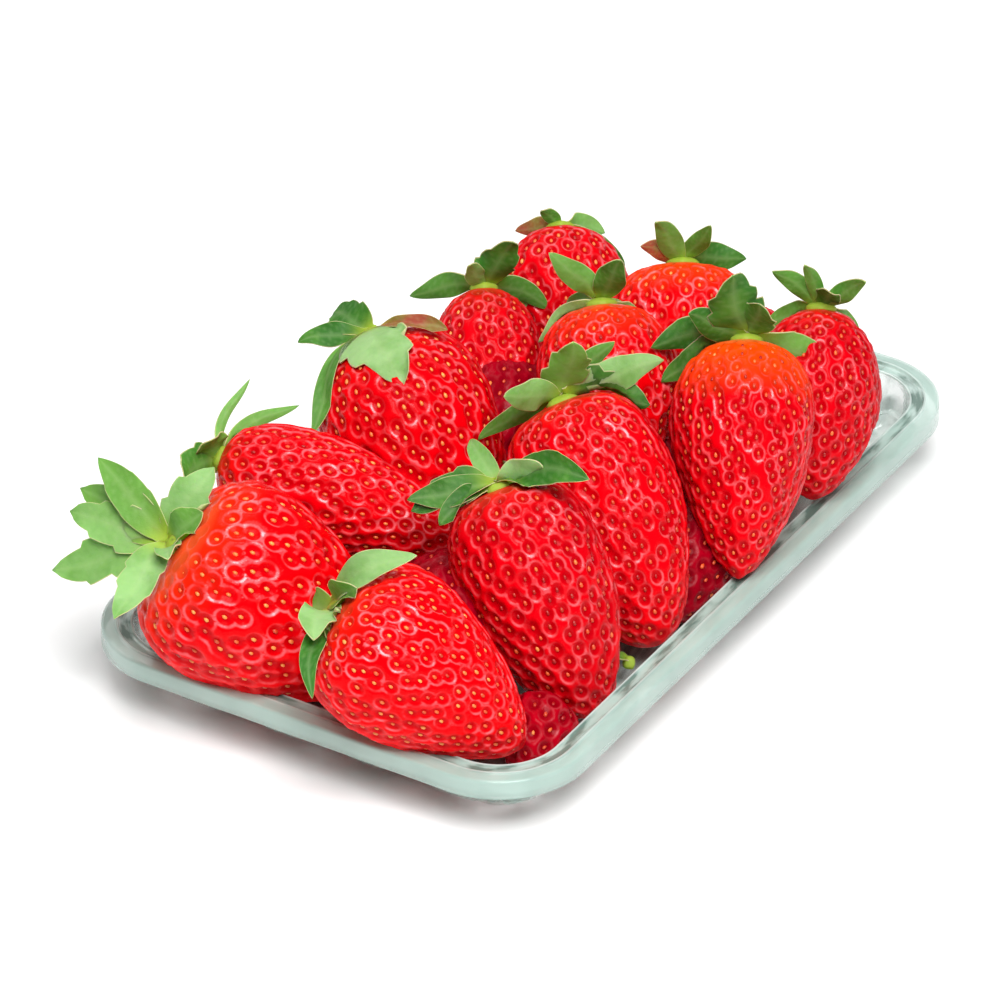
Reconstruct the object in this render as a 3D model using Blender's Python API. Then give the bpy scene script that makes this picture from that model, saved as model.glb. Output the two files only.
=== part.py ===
"""A punnet of strawberries: a shallow clear tray heaped with large berries, their leafy caps on.

The origin is the middle of the tray's flat underside. X runs along the tray, Y across it and Z up.
"""

import math
from collections import namedtuple

import bmesh
import bpy
from mathutils import Vector

MM = 0.001

# The tray: a flat rim with a turned-down skirt round a shallow fluted tub.
RIM_LENGTH = 180 * MM
RIM_WIDTH = 110 * MM
RIM_CORNER = 19.3 * MM
TRAY_HEIGHT = 15 * MM
RIM_FLAT = 6.5 * MM
RIM_ROUNDING = 0.7 * MM
SKIRT_DROP = 4.2 * MM
SHEET = 0.5 * MM
LEDGE_HEIGHT = 6.2 * MM
LEDGE_WIDTH = 1.8 * MM
WALL_DRAFT = 1.6 * MM
FOOT_INSET = 12.2 * MM
FOOT_ROUNDING = 0.5 * MM

# The flutes: upright ribs that swell the wall outwards under the rim.
FLUTES = 28
FLUTE_DEPTH = 2.6 * MM
FLUTE_TOP = 12.2 * MM
FLUTE_STEPS = 4

# The berries: lathed bodies, fuller at the shoulder than at the tip.
CONTACT_GAP = 0.3 * MM
SHOULDER = 0.72
TAPER = 0.62
BERRY_RINGS = 8
BERRY_SIDES = 14
SMALL_RINGS = 5
SMALL_SIDES = 10
UNEVENNESS = 0.035

# The leaves of each cap.
LEAF_THICKNESS = 1.2 * MM
LEAF_ARCH = 0.12
LEAF_ROOT_DEPTH = 3.0 * MM
LEAF_OUTLINE = ((0.0, 0.45), (0.4, 1.0), (0.75, 0.72), (1.0, 0.12))

# The room the berries may fill: the tub's inside, and everything above the rim.
ROOM_MARGIN = 40 * MM
ROOM_TOP = 100 * MM

# Where each berry lies, in millimetres: its crown under the leaves, its tip and its width, then how
# far down it is fullest and how pointed it is. Each leaf is its turn round the crown from the top
# side, its tilt off the berry's axis, its length and its width.
Berry = namedtuple("Berry", "name crown tip width shoulder taper leaves")
TOP_BERRIES = (
    Berry("end_back", (-83, 32, 41), (-64, -2, 11), 40, 0.57, 0.51,
          ((165, 65, 27, 9), (120, 55, 26, 8), (140, 50, 24, 8), (100, 50, 25, 6), (240, 80, 20, 7))),
    Berry("back_left", (-47, 45, 37), (-31, -4, 23), 24, 0.69, 0.53,
          ((70, 120, 21, 4), (275, 70, 11, 7), (60, 90, 18, 4), (110, 115, 14, 4), (330, 80, 8, 6))),
    Berry("back_middle", (-9, 33, 50), (-15, 5, 5), 37, 0.69, 0.54,
          ((325, 120, 19, 13), (215, 75, 17, 7), (165, 70, 15, 8), (265, 120, 25, 4), (25, 100, 19, 5))),
    Berry("end_front", (-83, -6, 39), (-72, -42, 13), 34, 0.56, 0.60,
          ((0, 105, 22, 5), (145, 60, 17, 6), (280, 85, 14, 6), (265, 100, 24, 4), (340, 90, 10, 6))),
    Berry("front_left", (-40, -17, 47), (-49, -44, 7), 29, 0.63, 0.46,
          ((15, 100, 23, 6), (230, 85, 17, 7), (235, 65, 19, 6), (245, 100, 13, 5), (10, 85, 12, 5))),
    Berry("front_middle", (-8, -12, 48), (-23, -44, 9), 32, 0.65, 0.47,
          ((65, 115, 17, 10), (60, 90, 21, 6), (0, 60, 16, 8), (220, 90, 22, 5), (290, 75, 14, 5))),
    Berry("front_right", (25, -36, 53), (-3, -51, 16), 30, 0.63, 0.64,
          ((250, 115, 21, 8), (345, 55, 17, 10), (260, 95, 20, 8), (125, 105, 19, 6), (15, 65, 11, 7))),
    Berry("corner", (51, -39, 48), (29, -50, 17), 27, 0.80, 0.58,
          ((150, 110, 17, 5), (240, 105, 12, 6), (35, 80, 15, 4), (310, 70, 13, 4), (15, 80, 9, 6))),
    Berry("middle_left", (30, 30, 42), (3, 10, 4), 24, 0.72, 0.57,
          ((20, 65, 15, 9), (135, 120, 19, 6), (240, 90, 18, 6), (115, 105, 16, 5), (160, 120, 19, 4))),
    Berry("far_back", (61, 30, 41), (38, 13, 16), 26, 0.72, 0.60,
          ((125, 110, 17, 4), (120, 90, 10, 4))),
    Berry("far_middle", (56, -3, 45), (36, -15, 18), 32, 0.69, 0.57,
          ((335, 65, 13, 6), (30, 65, 14, 5), (110, 85, 13, 5), (300, 75, 10, 4))),
    Berry("middle", (26, -1, 50), (7, -17, 17), 29, 0.70, 0.57,
          ((15, 60, 14, 7), (310, 55, 16, 5), (130, 115, 16, 5), (240, 115, 17, 4), (210, 95, 10, 6))),
)
LOWER_BERRIES = (
    Berry("under_corner", (-52, -29, 10), (-68, -40, 11), 20, SHOULDER, TAPER, ()),
    Berry("under_front", (14, -30, 15), (-14, -42, 11), 25, SHOULDER, TAPER, ()),
    Berry("under_end", (-60, 34, 15), (-76, 2, 14), 28, SHOULDER, TAPER, ()),
    Berry("under_back", (-18, 32, 16), (-62, 22, 15), 28, SHOULDER, TAPER, ()),
    Berry("under_middle", (28, 20, 24), (-10, 12, 20), 28, SHOULDER, TAPER, ()),
    Berry("under_left", (-36, -5, 18), (-76, -20, 17), 30, SHOULDER, TAPER, ()),
    Berry("under_centre", (-4, -4, 20), (-36, -8, 17), 29, SHOULDER, TAPER, ()),
    Berry("under_gap", (24, -14, 18), (-8, -20, 16), 28, SHOULDER, TAPER, ()),
    Berry("under_near", (54, -14, 18), (28, -30, 15), 28, SHOULDER, TAPER, ()),
    Berry("under_inner", (58, 14, 18), (30, -2, 16), 28, SHOULDER, TAPER, ()),
    Berry("under_right", (75, -20, 14), (68, 14, 14), 26, SHOULDER, TAPER, ()),
    Berry("under_far", (36, 36, 14), (74, 30, 13), 25, SHOULDER, TAPER, ()),
)


def clear_scene():
    for obj in list(bpy.data.objects):
        bpy.data.objects.remove(obj, do_unlink=True)


def plain_material(name, colour, roughness, transmission=0.0):
    material = bpy.data.materials.new(name)
    material.use_nodes = True
    shader = material.node_tree.nodes["Principled BSDF"]
    shader.inputs["Base Color"].default_value = (*colour, 1.0)
    shader.inputs["Roughness"].default_value = roughness
    shader.inputs["Transmission Weight"].default_value = transmission
    material.diffuse_color = (*colour, 1.0)
    return material


def clear_plastic():
    return plain_material("clear_plastic", (0.62, 0.78, 0.71), 0.15, 0.7)


def berry_flesh():
    return plain_material("berry_flesh", (0.62, 0.02, 0.03), 0.35)


def mesh_object(name, bm, material):
    bmesh.ops.recalc_face_normals(bm, faces=bm.faces)
    mesh = bpy.data.meshes.new(name)
    bm.to_mesh(mesh)
    bm.free()
    mesh.materials.append(material)
    obj = bpy.data.objects.new(name, mesh)
    bpy.context.scene.collection.objects.link(obj)
    return obj


def rim_outline(count):
    """Points of the rim's rounded outline at even steps along it, each with its outward direction."""
    half = Vector((RIM_LENGTH / 2 - RIM_CORNER, RIM_WIDTH / 2 - RIM_CORNER))
    arc = math.pi / 2 * RIM_CORNER
    sides = ((2 * half.y, 0, (1, -1)), (2 * half.x, 90, (1, 1)),
             (2 * half.y, 180, (-1, 1)), (2 * half.x, 270, (-1, -1)))
    around = 4 * arc + 4 * half.x + 4 * half.y
    found = []
    for i in range(count):
        run = around * (i + 0.5) / count
        for straight, degrees, (sx, sy) in sides:
            if run < straight + arc:
                break
            run -= straight + arc
        facing = math.radians(degrees)
        turn = facing + max(run - straight, 0) / RIM_CORNER
        outward = Vector((math.cos(turn), math.sin(turn)))
        along = Vector((-math.sin(facing), math.cos(facing)))
        start = Vector((sx * half.x, sy * half.y))
        centre = start + along * min(run, straight)
        found.append((centre + outward * RIM_CORNER, outward))
    return found


def flute_swell(index, inset, height):
    """How far the wall swells outwards here: fullest between the ledge and the flutes' tops."""
    if inset < RIM_FLAT - SHEET or not SHEET < height <= FLUTE_TOP:
        return 0.0
    phase = (index % FLUTE_STEPS + 0.5) / FLUTE_STEPS
    across = math.sin(math.pi * phase) ** 2
    return FLUTE_DEPTH * across * (0.6 if height == FLUTE_TOP else 1.0)


def outline_ring(bm, inset, height):
    ring = []
    for index, (point, outward) in enumerate(rim_outline(FLUTES * FLUTE_STEPS)):
        place = point - outward * (inset - flute_swell(index, inset, height))
        ring.append(bm.verts.new((place.x, place.y, height)))
    return ring


def bridge(bm, lower, upper):
    count = len(lower)
    for i in range(count):
        j = (i + 1) % count
        bm.faces.new((lower[i], lower[j], upper[j], upper[i]))


def inner_wall(clearance=0.0):
    """The tub's inside from the rim down to the floor, as (inset, height) pairs."""
    return (
        (RIM_FLAT + clearance, TRAY_HEIGHT),
        (RIM_FLAT + WALL_DRAFT / 2 + clearance, FLUTE_TOP),
        (RIM_FLAT + WALL_DRAFT + clearance, LEDGE_HEIGHT),
        (RIM_FLAT + WALL_DRAFT + LEDGE_WIDTH + clearance, LEDGE_HEIGHT - SHEET),
        (FOOT_INSET + clearance, SHEET + FOOT_ROUNDING),
        (FOOT_INSET + FOOT_ROUNDING + clearance, SHEET),
    )


def make_tray(material):
    skirt_foot = TRAY_HEIGHT - SKIRT_DROP
    inside = [
        (0.0, skirt_foot),
        (0.0, TRAY_HEIGHT - RIM_ROUNDING),
        (RIM_ROUNDING, TRAY_HEIGHT),
        *inner_wall(),
    ]
    outside = [
        (SHEET, skirt_foot),
        (SHEET, TRAY_HEIGHT - SHEET - RIM_ROUNDING / 2),
        (SHEET + RIM_ROUNDING / 2, TRAY_HEIGHT - SHEET),
        (RIM_FLAT - SHEET, TRAY_HEIGHT - SHEET),
    ]
    outside += [(inset - SHEET, height) for inset, height in inner_wall()[1:3]]
    outside += [(inset - SHEET, height - SHEET) for inset, height in inner_wall()[3:]]
    bm = bmesh.new()
    shell = [outline_ring(bm, *level) for level in reversed(outside)]
    shell += [outline_ring(bm, *level) for level in inside]
    for lower, upper in zip(shell, shell[1:]):
        bridge(bm, lower, upper)
    bm.faces.new(shell[0])
    bm.faces.new(shell[-1])
    return mesh_object("tray", bm, material)


def make_room():
    """A helper that bounds the heap: the tub's inside less the gap, opening out above the rim."""
    bm = bmesh.new()
    floor = SHEET + CONTACT_GAP
    over_rim = TRAY_HEIGHT + CONTACT_GAP
    levels = [(inset, max(height, floor)) for inset, height in reversed(inner_wall(CONTACT_GAP)[:-1])]
    levels[-1] = (RIM_FLAT + CONTACT_GAP, over_rim)
    levels += [(-ROOM_MARGIN, over_rim), (-ROOM_MARGIN, ROOM_TOP)]
    rings = []
    for inset, height in levels:
        places = [point - outward * inset for point, outward in rim_outline(FLUTES * 2)]
        rings.append([bm.verts.new((place.x, place.y, height)) for place in places])
    for lower, upper in zip(rings, rings[1:]):
        bridge(bm, lower, upper)
    bm.faces.new(rings[0])
    bm.faces.new(rings[-1])
    room = mesh_object("room", bm, berry_flesh())
    room.hide_render = True
    room.display_type = "WIRE"
    return room


def berry_frame(berry):
    """The crown and tip in metres, the unit axis from tip to crown, and two directions across it."""
    crown = Vector(berry.crown) * MM
    tip = Vector(berry.tip) * MM
    axis = (crown - tip).normalized()
    upper = (Vector((0, 0, 1)) - axis * axis.z).normalized()
    return crown, tip, axis, upper, axis.cross(upper)


def berry_radius(berry, along):
    return berry.width * MM / 2 * math.sin(math.pi * along ** berry.shoulder) ** berry.taper


def add_body(bm, berry, rings, sides, seed):
    crown, tip, axis, upper, across = berry_frame(berry)
    loops = []
    for i in range(1, rings):
        along = (1 - math.cos(math.pi * i / rings)) / 2
        radius = berry_radius(berry, along)
        loop = []
        for k in range(sides):
            turn = 2 * math.pi * k / sides
            lumps = 1 + UNEVENNESS * math.cos(2 * turn + seed) + UNEVENNESS / 2 * math.sin(3 * turn - seed)
            outward = upper * math.cos(turn) + across * math.sin(turn)
            loop.append(bm.verts.new(crown.lerp(tip, along) + outward * radius * lumps))
        loops.append(loop)
    for upper_loop, lower_loop in zip(loops, loops[1:]):
        bridge(bm, upper_loop, lower_loop)
    for pole, loop in ((crown, loops[0]), (tip, loops[-1])):
        end = bm.verts.new(pole)
        for k in range(sides):
            bm.faces.new((end, loop[k], loop[(k + 1) % sides]))


def add_leaf(bm, berry, turn, tilt, length, width):
    crown, _, axis, upper, across = berry_frame(berry)
    outward = upper * math.cos(math.radians(turn)) + across * math.sin(math.radians(turn))
    forward = axis * math.cos(math.radians(tilt)) + outward * math.sin(math.radians(tilt))
    side = forward.cross(axis).normalized()
    face = side.cross(forward).normalized()
    root = crown - axis * LEAF_ROOT_DEPTH
    stations = []
    for along, spread in LEAF_OUTLINE:
        lift = LEAF_ARCH * math.sin(math.pi * along)
        centre = root.lerp(crown + forward * length * MM, along) + face * lift * length * MM
        half = side * width * MM * spread / 2
        thick = face * LEAF_THICKNESS / 2
        stations.append([bm.verts.new(centre + offset) for offset in (half, thick, -half, -thick)])
    for near, far in zip(stations, stations[1:]):
        bridge(bm, near, far)
    bm.faces.new(stations[0])
    bm.faces.new(stations[-1])


def solids_in(bm_builder, name):
    bm = bmesh.new()
    bm_builder(bm)
    obj = mesh_object(name, bm, berry_flesh())
    obj.hide_render = True
    return obj


def heap_pieces():
    """Every berry body and leaf of the heap, each its own closed helper."""
    pieces = []
    layers = ((TOP_BERRIES, BERRY_RINGS, BERRY_SIDES), (LOWER_BERRIES, SMALL_RINGS, SMALL_SIDES))
    for berries, rings, sides in layers:
        for seed, berry in enumerate(berries):
            def body(bm, berry=berry, rings=rings, sides=sides, seed=seed):
                add_body(bm, berry, rings, sides, seed)
            pieces.append(solids_in(body, "body_" + berry.name))
    for berry in TOP_BERRIES:
        for number, shape in enumerate(berry.leaves):
            def leaf(bm, berry=berry, shape=shape):
                add_leaf(bm, berry, *shape)
            pieces.append(solids_in(leaf, f"leaf_{berry.name}_{number}"))
    return pieces


def apply_boolean(obj, operation, solver, others):
    group = bpy.data.collections.new("cutters")
    bpy.context.scene.collection.children.link(group)
    for other in others:
        group.objects.link(other)
    cut = obj.modifiers.new(operation.lower(), "BOOLEAN")
    cut.operation = operation
    cut.solver = solver
    cut.operand_type = "COLLECTION"
    cut.collection = group
    graph = bpy.context.evaluated_depsgraph_get()
    joined = bpy.data.meshes.new_from_object(obj.evaluated_get(graph))
    obj.modifiers.clear()
    obj.data = joined
    bpy.data.collections.remove(group)
    for other in others:
        bpy.data.objects.remove(other, do_unlink=True)


def keep_outer_skin(obj):
    """Drops the sealed hollows that the berries leave between them: only the heap's outside stays."""
    bm = bmesh.new()
    bm.from_mesh(obj.data)
    bm.faces.ensure_lookup_table()
    left = set(bm.faces)
    skins = []
    while left:
        found = [left.pop()]
        for face in found:
            for edge in face.edges:
                fresh = [other for other in edge.link_faces if other in left]
                left.difference_update(fresh)
                found.extend(fresh)
        skins.append(found)
    skins.sort(key=lambda faces: sum(face.calc_area() for face in faces))
    for inner in skins[:-1]:
        bmesh.ops.delete(bm, geom=inner, context="FACES")
    bm.to_mesh(obj.data)
    bm.free()


def make_heap(material):
    pieces = heap_pieces()
    heap = pieces[0]
    apply_boolean(heap, "UNION", "EXACT", pieces[1:])
    keep_outer_skin(heap)
    apply_boolean(heap, "INTERSECT", "MANIFOLD", [make_room()])
    keep_outer_skin(heap)
    heap.name = "berries"
    heap.hide_render = False
    heap.data.materials.clear()
    heap.data.materials.append(material)
    return heap


clear_scene()
make_tray(clear_plastic())
make_heap(berry_flesh())
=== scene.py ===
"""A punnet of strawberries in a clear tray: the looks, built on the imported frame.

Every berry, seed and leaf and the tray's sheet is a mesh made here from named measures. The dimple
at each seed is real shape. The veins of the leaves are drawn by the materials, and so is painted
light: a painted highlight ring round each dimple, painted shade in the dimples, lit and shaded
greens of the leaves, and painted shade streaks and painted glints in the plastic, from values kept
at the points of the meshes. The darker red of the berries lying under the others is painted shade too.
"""

import math

import bmesh
import bpy
import numpy as np
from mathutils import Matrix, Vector


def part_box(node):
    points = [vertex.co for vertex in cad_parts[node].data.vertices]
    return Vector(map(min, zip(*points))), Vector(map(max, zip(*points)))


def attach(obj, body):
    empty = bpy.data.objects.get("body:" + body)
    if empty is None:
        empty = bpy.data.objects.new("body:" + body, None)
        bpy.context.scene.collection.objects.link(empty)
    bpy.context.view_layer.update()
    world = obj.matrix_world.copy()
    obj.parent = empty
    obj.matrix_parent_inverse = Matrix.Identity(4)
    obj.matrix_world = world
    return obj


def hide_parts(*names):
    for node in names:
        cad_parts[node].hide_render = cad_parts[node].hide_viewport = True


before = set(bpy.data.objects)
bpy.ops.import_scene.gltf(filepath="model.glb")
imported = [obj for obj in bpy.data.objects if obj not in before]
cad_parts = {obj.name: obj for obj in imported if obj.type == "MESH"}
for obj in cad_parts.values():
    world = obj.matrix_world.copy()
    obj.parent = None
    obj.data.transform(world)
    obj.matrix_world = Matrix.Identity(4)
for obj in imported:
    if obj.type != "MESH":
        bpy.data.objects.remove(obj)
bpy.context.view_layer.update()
MM = 0.001
rng = np.random.default_rng(7)

# ---------------------------------------------------------------- what lies in the tray

# Places and lengths are in millimetres, in the frame's axes. A berry has these values:
#   crown, tip, width: the middle of its top under the leaves, its point, and its greatest width.
#   shoulder, taper: the smaller the shoulder, the nearer the crown it is fullest; the larger the
#     taper, the more pointed it is.
#   spacing: from seed to seed.
#   pale, then the darkness of the red, then tone: how far its pale shoulder reaches; how dark its red
#   is, partly the berry's own red and partly painted shade, darkest on the berries lying under others;
#   how yellow its seeds are.
#   leaves: each is (turn, tilt, length, width, curl, roll, tone). Turn goes round the crown from its
#     upper side, and tilt is away from the stalk's line, halfway along the leaf. Curl is how much the
#     tilt grows from root to point, and roll turns the blade about its length. All four are degrees.
#     Tone is pale green at 0, dark green at 0.85 to 0.9 and russet at 1. From pale to dark green it is
#     partly the leaf's own green and partly painted light and shade: lit leaves are given a paler green,
#     leaves in shade a darker one.
TOP = {
    "end_back": dict(
        crown=(-83, 32, 41), tip=(-64, -2, 11), width=40, shoulder=0.57, taper=0.51,
        spacing=4.4, pale=0.35, dark_red_and_shade=0.05, tone=0.75,
        leaves=(
            (120, 55, 26, 9, 10, 0, 0.45), (100, 50, 25, 7, 15, 15, 0.5), (140, 50, 24, 9, 10, -15, 0.3),
            (165, 65, 27, 10, 15, -35, 0.3), (240, 80, 20, 8, 25, -55, 0.15), (285, 80, 10, 5, 20, -35, 0.2),
            (25, 85, 16, 9, 20, 55, 0.2), (345, 90, 10, 7, 20, 50, 0.5),
        ),
    ),
    "back_left": dict(
        crown=(-47, 45, 37), tip=(-31, -4, 23), width=24, shoulder=0.69, taper=0.53,
        spacing=3.5, pale=0.12, dark_red_and_shade=0.20, tone=0.35,
        leaves=(
            (60, 90, 18, 2, 30, -65, 0.35), (70, 120, 21, 3, 30, -50, 0.4), (275, 70, 11, 8, 20, 45, 0.8),
            (110, 115, 14, 4, 20, -20, 0.15), (330, 80, 8, 7, 20, -45, 0.5),
        ),
    ),
    "back_middle": dict(
        crown=(-9, 33, 50), tip=(-15, 5, 5), width=37, shoulder=0.69, taper=0.54,
        spacing=3.7, pale=0.12, dark_red_and_shade=0.2, tone=0.75,
        leaves=(
            (215, 75, 14, 5, 25, -55, 0.85), (165, 70, 15, 8, 25, -30, 0.85), (325, 120, 19, 14, 30, 5, 0.1),
            (25, 105, 16, 5, 35, 55, 1.0), (265, 120, 25, 5, 25, -45, 0.7),
        ),
    ),
    "end_front": dict(
        crown=(-83, -6, 39), tip=(-72, -42, 13), width=34, shoulder=0.56, taper=0.60,
        spacing=3.5, pale=0.2, dark_red_and_shade=0.05, tone=0.7,
        leaves=(
            (145, 60, 17, 7, -60, -25, 0.5), (280, 85, 14, 7, 40, -65, 0.15), (0, 105, 22, 6, 55, 50, 0.15),
            (265, 100, 24, 4, 35, -50, 0.85), (340, 90, 10, 7, 20, 60, 0.6),
        ),
    ),
    "front_left": dict(
        crown=(-40, -17, 47), tip=(-49, -44, 7), width=29, shoulder=0.63, taper=0.46,
        spacing=3.7, pale=0.1, dark_red_and_shade=0.35, tone=0.2,
        leaves=(
            (235, 78, 17, 6, 15, -65, 0.8), (230, 85, 17, 8, 20, -65, 0.85), (155, 55, 16, 4, 10, -10, 0.3),
            (15, 100, 23, 7, 35, 60, 0.85), (245, 100, 13, 6, 25, -65, 0.85), (10, 85, 12, 6, 20, -65, 0.1),
        ),
    ),
    "front_middle": dict(
        crown=(-8, -12, 48), tip=(-23, -44, 9), width=32, shoulder=0.65, taper=0.47,
        spacing=3.4, pale=0.12, dark_red_and_shade=0.25, tone=0.25,
        leaves=(
            (0, 60, 16, 9, 15, -35, 0.45), (50, 65, 15, 5, 10, -60, 0.6), (60, 90, 21, 7, 25, -65, 0.2),
            (220, 92, 19, 4, 40, 65, 0.6), (65, 115, 17, 11, 30, -65, 0.85), (290, 75, 14, 6, 25, 50, 0.3),
        ),
    ),
    "front_right": dict(
        crown=(25, -36, 53), tip=(-3, -51, 16), width=30, shoulder=0.63, taper=0.64,
        spacing=3.2, pale=0.8, dark_red_and_shade=0.3, tone=0.35,
        leaves=(
            (345, 55, 17, 11, 15, 20, 0.85), (300, 75, 13, 6, 15, 55, 0.85), (260, 95, 19, 7, 30, 60, 0.85),
            (250, 115, 19, 7, 30, 55, 0.8), (125, 100, 22, 7, 30, -50, 0.45), (15, 65, 11, 8, 15, -20, 0.8),
        ),
    ),
    "corner": dict(
        crown=(51, -39, 48), tip=(29, -50, 17), width=27, shoulder=0.80, taper=0.58,
        spacing=3.3, pale=0.2, dark_red_and_shade=0.4, tone=0.3,
        leaves=(
            (310, 65, 13, 4, 10, 55, 0.6), (345, 60, 13, 3, 10, 30, 0.5), (35, 75, 15, 4, 10, -45, 0.6),
            (15, 80, 9, 5, 15, -25, 0.85), (150, 110, 17, 5, 30, -40, 0.5), (240, 105, 12, 5, 20, 55, 0.5),
        ),
    ),
    "middle_left": dict(
        crown=(30, 30, 42), tip=(3, 10, 4), width=24, shoulder=0.72, taper=0.57,
        spacing=3.3, pale=0.2, dark_red_and_shade=0.35, tone=0.4,
        leaves=(
            (240, 90, 16, 5, 20, 60, 0.7), (340, 75, 10, 4, 10, 25, 0.3), (20, 65, 15, 8, 10, -25, 0.8),
            (115, 105, 15, 5, 30, -55, 0.7), (135, 120, 19, 6, 45, -35, 0.1), (160, 120, 17, 4, 40, -15, 0.7),
        ),
    ),
    "far_back": dict(
        crown=(61, 30, 41), tip=(38, 13, 16), width=26, shoulder=0.72, taper=0.60,
        spacing=3.6, pale=0.12, dark_red_and_shade=0.3, tone=0.6,
        leaves=(
            (325, 75, 6, 3, 10, 35, 0.7), (125, 110, 17, 5, 20, -45, 0.8), (120, 90, 10, 5, 30, -55, 0.3),
            (245, 85, 9, 4, 20, 55, 1.0),
        ),
    ),
    "far_middle": dict(
        crown=(56, -3, 45), tip=(36, -15, 18), width=32, shoulder=0.69, taper=0.57,
        spacing=3.7, pale=0.6, dark_red_and_shade=0.1, tone=0.6,
        leaves=(
            (335, 65, 14, 5, 10, 30, 0.4), (300, 75, 9, 4, 15, 55, 1.0), (30, 65, 12, 4, 10, -30, 0.65),
            (110, 85, 13, 6, 30, -65, 0.85),
        ),
    ),
    "middle": dict(
        crown=(26, -1, 50), tip=(7, -17, 17), width=29, shoulder=0.70, taper=0.57,
        spacing=3.5, pale=0.45, dark_red_and_shade=0.15, tone=0.4,
        leaves=(
            (310, 55, 16, 5, 15, 45, 0.4), (15, 60, 13, 6, 15, -25, 0.75), (210, 95, 10, 6, 30, 60, 0.15),
            (240, 115, 15, 4, 35, 55, 0.2), (130, 115, 14, 5, 30, -45, 0.2),
        ),
    ),
}
# Rings of a berry's mesh, and points in each.
TOP_GRID = (100, 190)

# The berries that carry the others. Their other values are LOWER_LOOK's.
# Some set their own darkness of red, which is painted shade for where they lie.
LOWER = {
    "under_corner": dict(crown=(-55, -36, 8), tip=(-70, -42, 8), width=17, dark_red_and_shade=0.8, leaves=()),
    "under_front": dict(crown=(14, -30, 15), tip=(-14, -42, 11), width=25),
    "under_end": dict(crown=(-60, 34, 15), tip=(-76, 2, 14), width=28, dark_red_and_shade=0.4),
    "under_back": dict(crown=(-18, 32, 16), tip=(-62, 22, 15), width=28, dark_red_and_shade=0.4),
    "under_middle": dict(crown=(28, 20, 24), tip=(-10, 12, 20), width=28),
    "under_left": dict(crown=(-36, -5, 18), tip=(-76, -20, 17), width=30),
    "under_centre": dict(crown=(-4, -4, 20), tip=(-36, -8, 17), width=29),
    "under_gap": dict(crown=(24, -14, 18), tip=(-8, -20, 16), width=28),
    "under_near": dict(crown=(54, -14, 18), tip=(28, -30, 15), width=28),
    "under_inner": dict(crown=(58, 14, 18), tip=(30, -2, 16), width=28, dark_red_and_shade=0.4),
    "under_right": dict(crown=(75, -20, 14), tip=(68, 14, 14), width=26, dark_red_and_shade=0.4),
    "under_far": dict(crown=(36, 36, 14), tip=(74, 30, 13), width=25, dark_red_and_shade=0.4),
}
LOWER_GRID = (48, 90)
LOWER_LEAVES = tuple((turn, 92, 10, 6, 30, 0, 0.6) for turn in range(20, 360, 72))
# The lower berries are painted a much darker red, as painted shade for where they lie under the others.
LOWER_LOOK = dict(
    shoulder=0.72, taper=0.62, spacing=3.9, pale=0.1, dark_red_and_shade=0.9, tone=0.3, leaves=LOWER_LEAVES,
)

# Loose scraps of leaf. Each is a cap with one leaf, whose berry isn't there; SCRAP_LOOK has the rest.
SCRAPS = {
    "scrap_near": dict(crown=(-53, -41, 7), tip=(-56, -39, -1), leaves=((300, 80, 5, 4, 10, 0, 0.3),)),
    "scrap_far": dict(crown=(-28, -40, 6), tip=(-31, -40, -4), leaves=((300, 80, 7, 4, 10, 0, 0.6),)),
}
SCRAP_LOOK = dict(width=1, shoulder=0.7, taper=0.6)

# ---------------------------------------------------------------- shared geometry

TINY = 1e-12


def unit(vectors):
    return vectors / (np.linalg.norm(vectors, axis=-1, keepdims=True) + TINY)


def smooth_step(low, high, value):
    share = np.clip((value - low) / (high - low), 0, 1)
    return share * share * (3 - 2 * share)


def grid_normals(points):
    """Unit normals, all to one side, of a (rings, sides) grid of points whose rings are closed."""
    down = np.gradient(points, axis=0)
    sideways = np.roll(points, -1, axis=1) - np.roll(points, 1, axis=1)
    return unit(np.cross(sideways, down))


def outward_normals(points):
    normals = grid_normals(points)
    middle = points.mean(axis=1, keepdims=True)
    return normals * np.sign(((points - middle) * normals).sum())


def closed_grid(rings, sides, first=0):
    """Faces of a (rings, sides) grid of points whose rings are closed, with the end rings filled in."""
    i, j = np.meshgrid(np.arange(rings - 1), np.arange(sides), indexing="ij")
    k = (j + 1) % sides
    quads = np.stack([i * sides + j, (i + 1) * sides + j, (i + 1) * sides + k, i * sides + k], -1)
    start = first + np.arange(sides)
    end = start + (rings - 1) * sides
    return (first + quads.reshape(-1, 4)).tolist() + [start.tolist(), end[::-1].tolist()]


def mesh_from(name, points, faces, looks):
    """A smooth piece whose faces look outwards, with a value of each named look at every point."""
    mesh = bpy.data.meshes.new(name)
    mesh.from_pydata(points.reshape(-1, 3).tolist(), [], faces)
    shape = bmesh.new()
    shape.from_mesh(mesh)
    bmesh.ops.recalc_face_normals(shape, faces=shape.faces)
    shape.to_mesh(mesh)
    shape.free()
    for look, values in looks:
        store = mesh.attributes.new(look, "FLOAT", "POINT").data
        store.foreach_set("value", np.asarray(values, np.float32).reshape(-1))
    mesh.polygons.foreach_set("use_smooth", [True] * len(mesh.polygons))
    mesh.update()
    piece = bpy.data.objects.new(name, mesh)
    bpy.context.scene.collection.objects.link(piece)
    return piece


def stand_for(piece, material, node):
    """Gives a piece its material and its body, and hides the CAD node it stands for."""
    piece.data.materials.append(material)
    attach(piece, "root")
    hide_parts(node)


# ---------------------------------------------------------------- the smooth body of a berry

# Shares of the radius: two slow swells round the axis, and a ripple that also winds down it.
UNEVENNESS = 0.035
RIPPLE = 0.02
PROFILE_POINTS = 2001


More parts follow.
